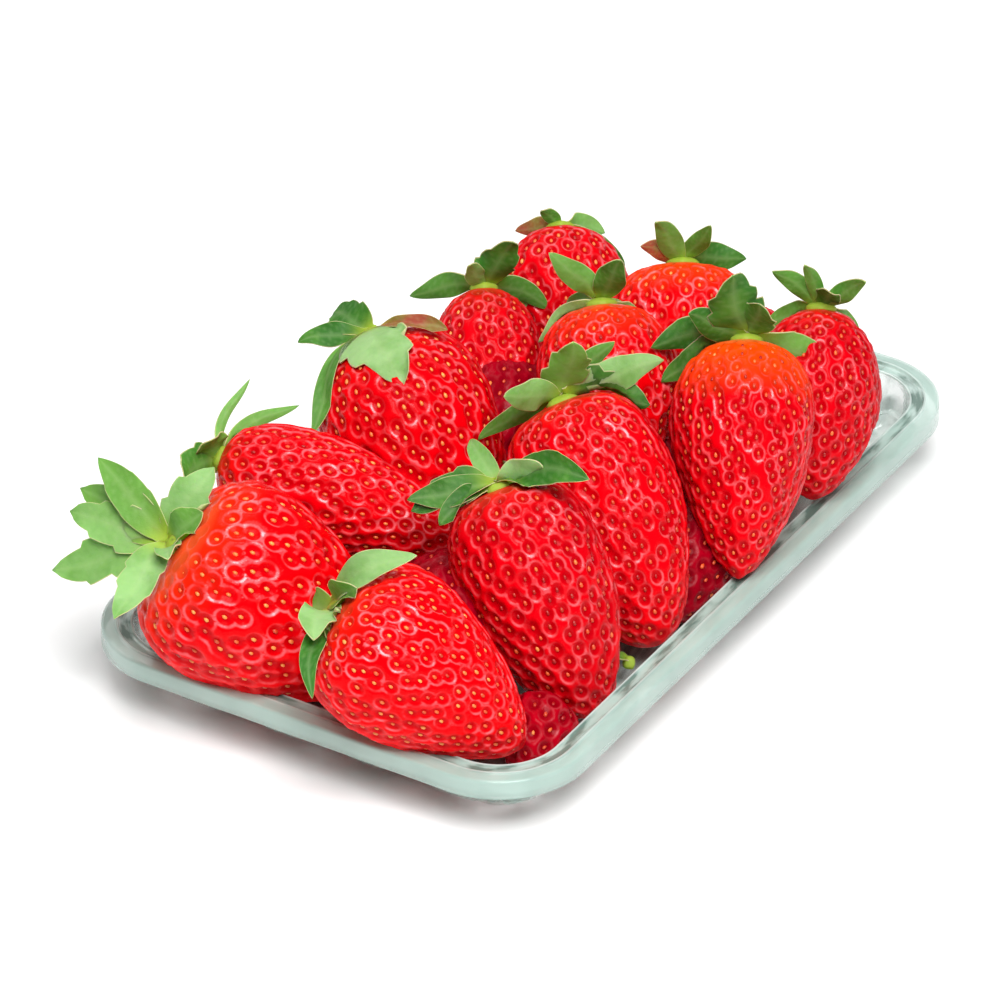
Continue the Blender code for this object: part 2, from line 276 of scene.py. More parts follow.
def frame_of(berry):
    """Crown, tip, unit axis from tip to crown, and two directions across it, as arrays."""
    crown = Vector(berry["crown"]) * MM
    tip = Vector(berry["tip"]) * MM
    axis = (crown - tip).normalized()
    upper = (Vector((0, 0, 1)) - axis * axis.z).normalized()
    return [np.array(v) for v in (crown, tip, axis, upper, axis.cross(upper))]


def length_of(berry):
    return np.linalg.norm(np.subtract(berry["crown"], berry["tip"]))


def half_width(berry, along):
    """Half the body's width in millimetres, at these fractions from crown to tip."""
    return berry["width"] / 2 * np.sin(np.pi * along ** berry["shoulder"]) ** berry["taper"]


def surface(berry, along, turn, variant):
    """Points of the smooth body at these fractions from crown to tip and turns round the axis."""
    crown, tip, _, upper, across = frame_of(berry)
    radius = half_width(berry, np.clip(along, 0, 1)) * MM
    swell = np.cos(2 * turn + variant) + np.sin(3 * turn - variant) / 2
    ripple = np.sin(5 * turn + 9 * along + variant) * np.sin(np.pi * along)
    uneven = 1 + UNEVENNESS * swell + RIPPLE * ripple
    middle = crown + (tip - crown) * along[..., None]
    outward = upper * np.cos(turn)[..., None] + across * np.sin(turn)[..., None]
    return middle + outward * (radius * uneven)[..., None]


def skin_normals(berry, along, turn, variant):
    """Outward normals of the smooth body at these places."""
    step = 1e-3
    here = surface(berry, along, turn, variant)
    down = surface(berry, np.clip(along + step, 0, 1), turn, variant) - here
    sideways = surface(berry, along, turn + step, variant) - here
    normals = unit(np.cross(sideways, down))
    crown, tip = frame_of(berry)[:2]
    outward = here - (crown + (tip - crown) * along[:, None])
    return normals * np.sign((normals * outward).sum(-1))[:, None]


def profile_of(berry):
    """Fractions from crown to tip, half the width at each, and the length of skin between them."""
    along = (1 - np.cos(np.linspace(0, np.pi, PROFILE_POINTS))) / 2
    radius = half_width(berry, along)
    return along, radius, np.hypot(np.diff(along * length_of(berry)), np.diff(radius))


def even_rings(berry, count):
    """Fractions from crown to tip at even distances along the body's profile."""
    along, _, steps = profile_of(berry)
    run = np.concatenate([[0], np.cumsum(steps)])
    return np.interp(np.linspace(0, run[-1], count), run, along)


# ---------------------------------------------------------------- dimpled flesh

# A seed's share of the skin, in squares of the spacing, and the share of it that is bare at the crown.
SEED_SHARE = 0.87
BARE_SHARE = 0.012
GOLDEN_ANGLE = math.radians(137.508)
# How far a seed strays, lengthwise in spacings and round the axis in radians, and the fractions from
# crown to tip that it stays between.
STRAY_ALONG = 0.06
STRAY_ROUND = 0.048
SEED_LIMITS = (0.01, 0.995)
# The dimples' measures hold where the seeds are USUAL_SPACING apart, and follow the spacing elsewhere.
USUAL_SPACING = 4.0
PIT_DEPTH = 1.05 * MM
PIT_RADIUS = 1.50 * MM
# Of the depth, what the skin between dimples stands out; and how much longer than wide a dimple is,
# as the share of the lengthwise distance's square that doesn't count.
PIT_RIDGE = 0.40
PIT_STRETCH = 0.4
# Within this share of the length from either end the dimples get shallower, down to LEAST_PIT.
END_FADE = 0.05
LEAST_PIT = 0.2
# The first and last ring stay this share of the length inside the crown and the tip.
END_GAP = 0.0004
# Above the ground, which keeps the flesh clear of the tray's floor.
FLOOR_GAP = 0.8 * MM
# Where the painted ring highlights show: towards the key light, and how sharply they fall off.
LIGHT_FROM = np.array((-0.38, -0.35, 0.86))
LIGHT_GAIN = 1.35
LIGHT_LOSS = 0.2
# Points measured at a time, which keeps the arrays small.
POINTS_AT_ONCE = 4000


def seed_places(berry, variant):
    """Seeds wind round the body at the golden angle, each with an equal share of its skin."""
    profile, radius, steps = profile_of(berry)
    area = np.concatenate([[0], np.cumsum(steps * (radius[1:] + radius[:-1]) * np.pi)])
    count = int(area[-1] / (SEED_SHARE * berry["spacing"] ** 2))
    share = (np.arange(count) + 0.5) / count
    share = share[share > BARE_SHARE]
    along = np.interp(share * area[-1], area, profile)
    turn = np.arange(len(share)) * GOLDEN_ANGLE + variant
    stray = rng.normal(0, 1, (2, len(share)))
    along = along + STRAY_ALONG * stray[0] * berry["spacing"] / length_of(berry)
    return np.clip(along, *SEED_LIMITS), turn + STRAY_ROUND * stray[1]


def distance_to_seeds(points, places, axis):
    """How far each point is from the nearest seed, in metres, as an oval dimple counts it."""
    flat = points.reshape(-1, 3)
    nearest = np.empty(len(flat))
    for start in range(0, len(flat), POINTS_AT_ONCE):
        some = slice(start, start + POINTS_AT_ONCE)
        gap = flat[some, None] - places[None]
        square = (gap ** 2).sum(-1) - PIT_STRETCH * (gap @ axis) ** 2
        nearest[some] = np.sqrt(np.maximum(square, 0)).min(1)
    return nearest.reshape(points.shape[:-1])


def above_floor(points):
    return np.maximum(points, (-np.inf, -np.inf, FLOOR_GAP))


def make_body(name, berry, variant, rings, sides):
    """One berry's flesh, dimpled where its seeds sit. Returns what make_seeds needs of it."""
    rows = even_rings(berry, rings)
    rows[0], rows[-1] = END_GAP, 1 - END_GAP
    along, turn = np.meshgrid(rows, np.arange(sides) * 2 * np.pi / sides, indexing="ij")
    points = surface(berry, along, turn, variant)
    seeds_along, seeds_turn = seed_places(berry, variant)
    places = surface(berry, seeds_along, seeds_turn, variant)
    axis = frame_of(berry)[2]
    nearest = distance_to_seeds(points, places, axis)
    size = berry["spacing"] / USUAL_SPACING
    pit = np.exp(-(nearest / (PIT_RADIUS * size)) ** 3)
    fade = np.clip(along / END_FADE, LEAST_PIT, 1) * np.clip((1 - along) / END_FADE, LEAST_PIT, 1)
    height = PIT_DEPTH * size * fade * (PIT_RIDGE - pit)
    raised = above_floor(points + outward_normals(points) * height[..., None])
    # Where the key light falls on the dimpled skin, for the painted ring highlights.
    lit = np.clip(LIGHT_GAIN * (outward_normals(raised) @ LIGHT_FROM) - LIGHT_LOSS, 0, 1)
    reach = nearest / (berry["spacing"] * MM)
    looks = (("pit", pit), ("reach", reach), ("lit", lit), ("along", along))
    body = mesh_from("berry_" + name, raised, closed_grid(rings, sides), looks)
    stand_for(body, flesh_material(name, berry), "berries")
    normals = skin_normals(berry, seeds_along, seeds_turn, variant)
    return places, normals, axis, size, berry["tone"]


# ---------------------------------------------------------------- seeds

SEED_SIDES = 6
SEED_LENGTH = 1.5 * MM
SEED_WIDTH = 0.95 * MM
SEED_HEIGHT = 0.45 * MM
SEED_POINT = 0.18
# The wall's lower and upper ring: share of the outline, and of the height.
SEED_RINGS = ((1.0, -0.4), (0.72, 0.72))
# How deep a seed sits, as a share of its dimple's depth; how much seeds differ in size and in tone.
SEED_SUNK = 0.66
SEED_SIZES = (0.8, 1.05)
SEED_TONES = 0.2


def seed_points(place, normal, axis, size):
    """A seed: a pointed oval dome lying lengthwise in its dimple."""
    long = unit(axis - normal * (axis @ normal))
    wide = np.cross(normal, long)
    turns = np.arange(SEED_SIDES) * 2 * np.pi / SEED_SIDES
    lengthwise = np.cos(turns) * (1 + SEED_POINT * np.cos(turns)) * SEED_LENGTH / 2
    oval = long * lengthwise[:, None] + wide * (np.sin(turns) * SEED_WIDTH / 2)[:, None]
    rings = [oval * share + normal * lift * SEED_HEIGHT for share, lift in SEED_RINGS]
    return place + size * np.concatenate([*rings, (normal * SEED_HEIGHT)[None]])


def seed_faces(first):
    """A seed's wall, dome and underside, where its points start at this number."""
    top = first + SEED_SIDES
    pole = top + SEED_SIDES
    faces = [tuple(range(top - 1, first - 1, -1))]
    for k in range(SEED_SIDES):
        j = (k + 1) % SEED_SIDES
        faces.append((first + k, first + j, top + j, top + k))
        faces.append((top + k, top + j, pole))
    return faces


def make_seeds(groups):
    """All the seeds, as one piece, from what make_body returned for each berry."""
    points, faces, tones = [], [], []
    first = 0
    for places, normals, axis, size, tone in groups:
        for place, normal in zip(places, normals):
            sunk = place - normal * PIT_DEPTH * size * SEED_SUNK
            seed = seed_points(sunk, normal, axis, size ** 0.5 * rng.uniform(*SEED_SIZES))
            points.append(seed)
            faces += seed_faces(first)
            tones.append(np.full(len(seed), np.clip(tone + rng.normal(0, SEED_TONES), 0, 1)))
            first += len(seed)
    seeds = mesh_from("seeds", np.concatenate(points), faces, [("tone", np.concatenate(tones))])
    stand_for(seeds, seed_material(), "berries")


# ---------------------------------------------------------------- leaves

LEAF_ROWS = 24
LEAF_COLUMNS = 11
LEAF_SHEET = 0.25 * MM
LEAF_GAP = 1.5 * MM
# Every leaf is this many times as wide as its value says, and longer by the millimetres in the hub.
LEAF_SPREAD = 1.1
LEAF_ROOT = 1.5
ROOT_HEIGHT = 0.5 * MM
# Each edge has room for TEETH notches, and those beyond TEETH_FROM are cut. The wider the leaf the
# deeper they are: none up to the first width, in millimetres, and in full from the second.
TEETH = 4
TEETH_FROM = 0.42
TOOTH_DEPTH = 0.24
TOOTHED_WIDTHS = (6.5, 8.5)
# How a leaf bends: folded down from its midrib and rippled, as shares of its half width; waved along
# its middle line, in degrees; and swayed sideways, as a share of its width.
LEAF_FOLD = 0.22
LEAF_RIPPLE = 0.16
LEAF_WAVE = 9
LEAF_SWAY = 0.10
# Pairs of ribs, and how far they slant towards the point, in distances between them.
RIB_PAIRS = 6
RIB_SLANT = 2.0
LEAF_ALONG = np.linspace(0, 1, LEAF_ROWS)
LEAF_ACROSS = np.sin(np.linspace(-math.pi / 2, math.pi / 2, LEAF_COLUMNS))
# The uneven flesh stays within this many times its profile's radius.
MOST_UNEVEN = 1.08
HUB_RINGS = 6
HUB_SIDES = 18
HUB_HEIGHT = 1.6 * MM
# The hub's radius: this share of the berry's width, and this many millimetres more.
HUB_SHARE = 0.07
HUB_MORE = 1.2
HUB_LOBES = 5
LOBE_DEPTH = 0.08
HUB_TOP_RADIUS = 0.05 * MM
# What a cap's material is told at each point, and what it is told at the hub.
CAP_LOOKS = ("rim", "vein", "tone", "hub")
HUB_LOOKS = (0.0, 0.0, 0.3, 1.0)


def leaf_width(teeth):
    """The blade's half width from root to point, as a share of its widest."""
    root = 0.50 * (1 - LEAF_ALONG) ** 2
    blade = np.sin(np.pi * LEAF_ALONG ** 0.80) ** 0.75
    tooth = 1 - (LEAF_ALONG * TEETH + 0.3) % 1
    notch = 1 - TOOTH_DEPTH * teeth * tooth * (LEAF_ALONG > TEETH_FROM)
    return np.maximum(root, blade * notch) + 0.015


def leaf_line(berry, leaf, phase):
    """A leaf's middle line, the direction it takes at each row, and the side it spreads to."""
    turn, tilt, length, width, curl = leaf[:5]
    crown, _, axis, upper, across = frame_of(berry)
    outward = upper * math.cos(math.radians(turn)) + across * math.sin(math.radians(turn))
    side = np.cross(outward, axis)
    wave = LEAF_WAVE * np.sin(LEAF_ALONG * 7 + phase)
    tilts = np.radians(tilt + curl * (LEAF_ALONG - 0.5) + wave)
    ahead = axis * np.cos(tilts)[:, None] + outward * np.sin(tilts)[:, None]
    step = (length + LEAF_ROOT) * MM / LEAF_ROWS
    sway = LEAF_SWAY * width * MM * np.sin(LEAF_ALONG * 4 + phase * 2) * LEAF_ALONG
    line = crown + axis * ROOT_HEIGHT + np.cumsum(ahead, axis=0) * step
    return line + side * sway[:, None], ahead, side


def leaf_blade(berry, leaf, twist, phase):
    """Points of a leaf's middle sheet, folded and rippled, and the direction each row faces."""
    line, ahead, side = leaf_line(berry, leaf, phase)
    width, roll = leaf[3], leaf[5]
    narrow, broad = TOOTHED_WIDTHS
    teeth = min(max(width - narrow, 0) / (broad - narrow), 1)
    half = leaf_width(teeth) * width * LEAF_SPREAD * MM / 2
    rolls = math.radians(roll) * (0.5 + 0.5 * smooth_step(0, 0.5, LEAF_ALONG)) + twist * LEAF_ALONG
    out = side * np.cos(rolls)[:, None] + np.cross(ahead, side) * np.sin(rolls)[:, None]
    face = np.cross(ahead, out)
    lines = []
    for share in LEAF_ACROSS:
        fold = LEAF_FOLD * abs(share) ** 1.5
        ripple = LEAF_RIPPLE * np.sin(LEAF_ALONG * 11 + phase + 2.2 * np.sign(share)) * share ** 2
        drop = (fold + ripple) * half
        lines.append(line + out * (share * half)[:, None] - face * drop[:, None])
    return np.stack(lines, 1), face


def clear_of_flesh(points, berry):
    """Moves points inside the berry out to its skin: over the shoulder or sideways, the nearer way."""
    crown, _, axis = frame_of(berry)[:3]
    length = length_of(berry) * MM
    down = -(points - crown) @ axis
    sideways = points - crown + axis * down[..., None]
    radius = np.linalg.norm(sideways, axis=-1) + TINY
    skin = half_width(berry, np.clip(down / length, 0, 1)) * MM * MOST_UNEVEN + LEAF_GAP
    shoulder = np.linspace(0, 0.5 ** (1 / berry["shoulder"]), 200)
    top = np.interp(radius, half_width(berry, shoulder) * MM, shoulder * length) - LEAF_GAP
    lift = down - top
    push = skin - radius
    inside = (lift > 0) & (push > 0) & (down < length)
    over = inside & (lift < push)
    aside = inside & ~over
    return points + axis * (lift * over)[..., None] + sideways * (push / radius * aside)[..., None]


def leaf_faces(first):
    """Both sides of a leaf and the narrow edge between them; its under side's points come second."""
    n, m = LEAF_ROWS, LEAF_COLUMNS
    under = n * m
    faces = []
    for i in range(n - 1):
        left = first + i * m
        right = left + m - 1
        faces.append((left, left + m, left + m + under, left + under))
        faces.append((right, right + under, right + m + under, right + m))
        for a in range(left, right):
            faces.append((a, a + 1, a + m + 1, a + m))
            faces.append((a + under, a + under + m, a + under + m + 1, a + under + 1))
    for start in range(first, first + m - 1):
        end = start + (n - 1) * m
        faces.append((start, start + under, start + under + 1, start + 1))
        faces.append((end, end + 1, end + 1 + under, end + under))
    return faces


def leaf_looks(tone):
    """CAP_LOOKS at every point of a leaf's two sides."""
    along, share = np.meshgrid(LEAF_ALONG, np.abs(LEAF_ACROSS), indexing="ij")
    midrib = np.exp(-(share / 0.10) ** 2)
    ribs = 0.6 * np.exp(-((along * RIB_PAIRS - share * RIB_SLANT) % 1 - 0.5) ** 2 / 0.012)
    rim = share > 0.99
    hub = np.exp(-(along / 0.16) ** 2)
    looks = (rim, np.clip(midrib + ribs, 0, 1), np.full(share.shape, tone), hub)
    return np.array([np.tile(look.reshape(-1), 2) for look in looks], float)


def hub_points(berry):
    """The low green hub where a berry's leaves meet."""
    crown, _, axis, upper, across = frame_of(berry)
    radius = (HUB_SHARE * berry["width"] + HUB_MORE) * MM
    angles = np.arange(HUB_SIDES) * 2 * np.pi / HUB_SIDES
    outward = upper * np.cos(angles)[:, None] + across * np.sin(angles)[:, None]
    lobes = 1 + LOBE_DEPTH * np.cos(HUB_LOBES * angles)
    rings = []
    for rise in np.linspace(-0.35, 1.0, HUB_RINGS) * math.pi / 2:
        reach = radius * math.cos(rise) * lobes + HUB_TOP_RADIUS
        rings.append(crown + axis * HUB_HEIGHT * math.sin(rise) + outward * reach[:, None])
    return np.concatenate(rings)


def make_cap(name, berry, material):
    """A berry's cap: every leaf and the hub they grow from."""
    points, faces, looks = [], [], []
    first = 0
    for leaf in berry["leaves"]:
        blade, face = leaf_blade(berry, leaf, rng.uniform(-0.3, 0.3), rng.uniform(0, 6))
        blade = clear_of_flesh(blade, berry)
        sheet = face[:, None] * LEAF_SHEET / 2
        points += [(blade + sheet).reshape(-1, 3), (blade - sheet).reshape(-1, 3)]
        faces += leaf_faces(first)
        looks.append(leaf_looks(leaf[-1]))
        first += 2 * LEAF_ROWS * LEAF_COLUMNS
    points.append(hub_points(berry))
    faces += closed_grid(HUB_RINGS, HUB_SIDES, first)
    looks.append(np.repeat(np.array(HUB_LOOKS)[:, None], HUB_RINGS * HUB_SIDES, axis=1))
    looks = zip(CAP_LOOKS, np.concatenate(looks, axis=1))
    cap = mesh_from("cap_" + name, np.concatenate(points), faces, looks)
    stand_for(cap, material, "berries")


# ---------------------------------------------------------------- tray

tray_low, tray_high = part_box("tray")
RIM_LENGTH, RIM_WIDTH, TRAY_HEIGHT = tray_high - tray_low
RIM_CORNER = 19.3 * MM
SHEET = 0.5 * MM
FLUTES = 28
FLUTE_STEPS = 18
# Millimetres, seen square to the wall: how far a flute swells outwards; the height of the middle of
# its round top; its radius, the width of the painted shade line along its edge, and the radii that it
# dies out between; and the heights between which it comes out of the floor, a quarter of the way and
# then the whole.
FLUTE_DEPTH = 2.6
FLUTE_TOP = 7.6
FLUTE_RADIUS = 5.0
FLUTE_EDGE = 0.7
FLUTE_END = (4.0, 6.0)
FLUTE_FOOT = (1.0, 2.0)
FLUTE_LEDGE = (3.0, 4.2)
# The painted shade streaks in the rim, in millimetres along it and across it.
SHADE_STREAK_LENGTH = 9.0
SHADE_STREAK_WIDTH = 1.9
# The inside of the sheet, from the skirt's foot over the rim and down to the floor: inset from the
# rim's outline and height, in millimetres.
TRAY_PROFILE = (
    (0.0, 10.8), (0.0, 12.5), (0.0, 14.2), (0.1, 14.7), (0.4, 14.95), (0.8, 15.0), (2.4, 15.0),
    (2.8, 15.05), (3.0, 15.15), (3.3, 15.15), (3.5, 15.0), (3.6, 14.6), (3.9, 14.45), (5.2, 14.45),
    (5.9, 14.5), (6.1, 14.75), (6.3, 14.75), (6.5, 14.5), (6.6, 13.9), (6.7, 13.2), (6.9, 12.4),
    (7.1, 11.4), (7.3, 10.2), (7.6, 9.0), (7.9, 7.8), (8.1, 6.7), (8.2, 6.3), (8.5, 6.1), (9.6, 6.0),
    (9.9, 5.85), (10.1, 5.5), (10.4, 4.6), (10.8, 3.6), (11.0, 3.0), (11.3, 2.8), (12.0, 2.75),
    (12.3, 2.5), (12.5, 1.8), (12.7, 1.1), (13.0, 0.7), (13.5, 0.5),
)
# Insets on it, in millimetres: the rim's outer and inner bead, where painted glints lie; the gutter
# between them as its painted shade grows and ends; where the milky rim turns clear; and where the
# wall and the ledge inside it start.
OUTER_BEAD = (2.9, 3.4)
INNER_BEAD = (6.05, 6.35)
GUTTER_START = (2.6, 3.6)
GUTTER_END = 6.5
MILKY_END = (5.9, 6.9)
WALL_INSET = 6.4
LEDGE_INSET = 9.0
# What the plastic is told at each point: its painted shade, its painted glint, how milky it is, and where the
# painted shade streaks lie.
TRAY_LOOKS = ("dark", "light", "milky", "run", "inset")


def rim_outline(count):
    """Even places round the rim, the direction outwards at each, and the distance between flutes."""
    half = np.array([RIM_LENGTH / 2 - RIM_CORNER, RIM_WIDTH / 2 - RIM_CORNER])
    arc = math.pi / 2 * RIM_CORNER
    # Each side: its straight length, the way it faces in degrees, and the quadrant of its corner.
    sides = ((2 * half[1], 0, (1, -1)), (2 * half[0], 90, (1, 1)),
             (2 * half[1], 180, (-1, 1)), (2 * half[0], 270, (-1, -1)))
    around = 4 * arc + 4 * half.sum()
    places, directions = [], []
    for i in range(count):
        run = around * (i + 0.5) / count
        for straight, degrees, quadrant in sides:
            if run < straight + arc:
                break
            run -= straight + arc
        facing = math.radians(degrees)
        turn = facing + max(run - straight, 0) / RIM_CORNER
        outward = np.array([math.cos(turn), math.sin(turn)])
        along = np.array([-math.sin(facing), math.cos(facing)])
        places.append(half * quadrant + along * min(run, straight) + outward * RIM_CORNER)
        directions.append(outward)
    return np.array(places), np.array(directions), around / FLUTES


def tray_section(inset, height, sideways):
    """One ring of the sheet: how far its points swell outwards, their painted shade and painted glint, and
    how milky they are.
    """
    in_wall = inset > WALL_INSET
    reach = np.hypot(sideways, max(height - FLUTE_TOP, 0))
    rise = 0.75 * smooth_step(*FLUTE_LEDGE, height) + 0.25 * smooth_step(*FLUTE_FOOT, height)
    swell = FLUTE_DEPTH * (1 - smooth_step(*FLUTE_END, reach)) * rise * in_wall
    # Painted shade: a dark line round each flute's top, the gutter and the wall darker, and a little
    # everywhere, for the dark berries and shadow seen through the sheet.
    on_flute = in_wall and inset < LEDGE_INSET
    edge = np.exp(-((reach - FLUTE_RADIUS) / FLUTE_EDGE) ** 2) * on_flute
    gutter = smooth_step(*GUTTER_START, inset) * (inset < GUTTER_END)
    dark = np.clip(edge * 0.9 + gutter * 0.8 + in_wall * 0.35 + 0.15, 0, 1)
    # Painted glints along the inner and outer bead.
    on_inner, on_outer = (start < inset < end for start, end in (INNER_BEAD, OUTER_BEAD))
    light = 0.45 * on_inner + 0.25 * on_outer
    return swell, dark, light, 1 - smooth_step(*MILKY_END, inset)


def inside_of_sheet():
    """The sheet's inside, ring by ring, and TRAY_LOOKS at its points."""
    count = FLUTES * FLUTE_STEPS
    places, outward, pitch = rim_outline(count)
    sideways = (((np.arange(count) + 0.5) / FLUTE_STEPS) % 1 - 0.5) * pitch / MM
    run = np.arange(count) * pitch / FLUTE_STEPS / MM
    rings, looks = [], []
    for inset, height in TRAY_PROFILE:
        swell, *shades = tray_section(inset, height, sideways)
        ring = places - outward * ((inset - swell) * MM)[:, None]
        rings.append(np.column_stack([ring, np.full(count, height * MM)]))
        looks.append(np.broadcast_arrays(*shades, run / SHADE_STREAK_LENGTH, inset / SHADE_STREAK_WIDTH))
    return np.stack(rings), np.array(looks)


def outside_of_sheet(inside):
    """The sheet's other side, SHEET away. It stands on the ground."""
    normals = grid_normals(inside)
    normals *= np.sign(normals[-1, :, 2].mean())
    outside = inside - normals * SHEET
    outside[-1, :, 2] = 0.0
    outside[..., 2] = np.maximum(outside[..., 2], 0.0)
    return outside


def make_tray():
    inside, looks = inside_of_sheet()
    shell = np.concatenate([outside_of_sheet(inside)[::-1], inside])
    looks = np.concatenate([looks[::-1], looks]).transpose(1, 0, 2)
    rings, count = shell.shape[:2]
    piece = mesh_from("tray_shell", shell, closed_grid(rings, count), zip(TRAY_LOOKS, looks))
    stand_for(piece, plastic_material(), "tray")


# ---------------------------------------------------------------- nodes of a material


def new_material(name):
    material = bpy.data.materials.new(name)
    material.use_nodes = True
    return material, material.node_tree, material.node_tree.nodes["Principled BSDF"]


def feed(tree, socket, value):
    """Sets an input: from another node, to a number, or to a colour."""
    if isinstance(value, bpy.types.NodeSocket):
        tree.links.new(value, socket)
    elif isinstance(value, (int, float)):
        socket.default_value = value
    else:
        socket.default_value = (*value, 1.0)


def attribute(tree, name):
    node = tree.nodes.new("ShaderNodeAttribute")
    node.attribute_name = name
    return node.outputs["Fac"]


def noise(tree, scale, detail=3.0, place=None):
    place = place or tree.nodes.new("ShaderNodeTexCoord").outputs["Object"]
    node = tree.nodes.new("ShaderNodeTexNoise")
    node.inputs["Scale"].default_value = scale
    node.inputs["Detail"].default_value = detail
    tree.links.new(place, node.inputs["Vector"])
    return node.outputs["Fac"]


def ramp(tree, factor, stops):
    """A colour ramp. A stop is a place and a colour, or a place and a number for a grey."""
    node = tree.nodes.new("ShaderNodeValToRGB")
    elements = node.color_ramp.elements
    while len(elements) < len(stops):
        elements.new(0.5)
    for element, (position, colour) in zip(elements, stops):
        element.position = position
        element.color = (*colour, 1.0) if isinstance(colour, tuple) else (colour,) * 3 + (1.0,)
    tree.links.new(factor, node.inputs["Fac"])
    return node.outputs["Color"]


def mix(tree, factor, first, second):
    node = tree.nodes.new("ShaderNodeMix")
    node.data_type = "RGBA"
    sockets = [s for s in node.inputs if s.enabled]
    for socket, value in zip(sockets, (factor, first, second)):
        feed(tree, socket, value)
    return next(s for s in node.outputs if s.enabled)


def calculate(tree, operation, first, second, clamp=False):
    node = tree.nodes.new("ShaderNodeMath")
    node.operation = operation
    node.use_clamp = clamp
    for socket, value in zip(node.inputs, (first, second)):
        feed(tree, socket, value)
    return node.outputs[0]


def times(tree, first, second, clamp=False):
    return calculate(tree, "MULTIPLY", first, second, clamp)


def bump(tree, shader, height, strength):
    node = tree.nodes.new("ShaderNodeBump")
    node.inputs["Strength"].default_value = strength
    node.inputs["Distance"].default_value = 0.6 * MM
    tree.links.new(height, node.inputs["Height"])
    tree.links.new(node.outputs["Normal"], shader.inputs["Normal"])


# ---------------------------------------------------------------- materials

ORANGE = (0.95, 0.07, 0.0)
CREAM = (0.95, 0.38, 0.10)
# Where the painted highlight ring lies round a seed, in spacings from it: it fades in, holds and fades out.
HIGHLIGHT_RING = ((0.31, 0), (0.37, 1), (0.40, 1), (0.46, 0))


def painted_ring_highlights(tree):
    """The painted highlight ring round each dimple, broken up by noise and only where the key light falls on
    the skin.
    """
    whole = ramp(tree, attribute(tree, "reach"), HIGHLIGHT_RING)
    broken = ramp(tree, noise(tree, 260), ((0.40, 0.1), (0.62, 1)))
    return times(tree, times(tree, whole, broken), attribute(tree, "lit"))


def near_crown(tree, reach, sharpness, wobble=0.0):
    """Most at the crown and 0 beyond this share of the length, with an edge that wobbles."""
    near = calculate(tree, "SUBTRACT", reach, attribute(tree, "along"))
    if wobble:
        near = calculate(tree, "ADD", near, times(tree, noise(tree, 120), wobble))
    return times(tree, near, sharpness, clamp=True)


def flesh_material(name, berry):
    """Mottled red, with painted shade in the dimples, painted highlight rings round them, and an orange
    shoulder that turns cream.
    """
    material, tree, shader = new_material("flesh_berry_" + name)
    dark_red_and_shade, pale = berry["dark_red_and_shade"], berry["pale"]
    # The red is darker by the berry's own tone and by painted shade for the berries lying under others.
    bright = (0.98 - 0.72 * dark_red_and_shade, 0.0, 0.002 + 0.008 * dark_red_and_shade)
    dark = (0.44 - 0.34 * dark_red_and_shade, 0.0, 0.003)
    highlight_pink = (0.98 - 0.2 * dark_red_and_shade, 0.22, 0.25)
    patches = ramp(tree, noise(tree, 90), ((0.40, 0), (0.75, 0.5)))
    mottled = mix(tree, patches, bright, dark)
    # Painted shade: the dimples are painted towards the dark red.
    pit_shaded = mix(tree, times(tree, attribute(tree, "pit"), 0.8), mottled, dark)
    rings = painted_ring_highlights(tree)
    # Painted highlight: pink rings round the dimples where the key light falls, fainter on darker berries.
    ring_highlighted = mix(tree, times(tree, rings, 0.65 * (1 - dark_red_and_shade)), pit_shaded, highlight_pink)
    paled = mix(tree, near_crown(tree, 0.05 + 0.22 * pale, 5.0 * pale, 0.10), ring_highlighted, ORANGE)
    crowned = mix(tree, near_crown(tree, 0.04, 14.0 * pale), paled, CREAM)
    feed(tree, shader.inputs["Base Color"], crowned)
    shine = calculate(tree, "ADD", times(tree, rings, 0.8 * (1 - dark_red_and_shade)), 0.07)
    feed(tree, shader.inputs["Specular IOR Level"], shine)
    feed(tree, shader.inputs["Specular Tint"], (1.0, 0.75, 0.78))
    feed(tree, shader.inputs["Roughness"], 0.26)
    bump(tree, shader, noise(tree, 900, 2.0), 0.15)
    return material


def seed_material():
    """From the red of a seed that is hardly ripe to straw yellow."""
    material, tree, shader = new_material("seed_skin")
    colours = ((0.0, (0.36, 0.008, 0.006)), (0.5, (0.72, 0.10, 0.02)), (1.0, (0.88, 0.33, 0.07)))
    feed(tree, shader.inputs["Base Color"], ramp(tree, attribute(tree, "tone"), colours))
    feed(tree, shader.inputs["Roughness"], 0.35)
    return material


# Painted light and shade: a leaf the light falls on is given the pale green, a leaf in shade the dark green.
LIT_PALE_GREEN = (0.31, 0.50, 0.21)
MIDDLE_GREEN = (0.14, 0.32, 0.05)
SHADED_DARK_GREEN = (0.025, 0.13, 0.008)
RUSSET = (0.32, 0.06, 0.03)
BLOTCH_GREEN = (0.09, 0.25, 0.025)
VEIN_GREEN = (0.45, 0.58, 0.28)
HUB_GREEN = (0.33, 0.42, 0.02)
RIM_TAN = (0.62, 0.52, 0.30)


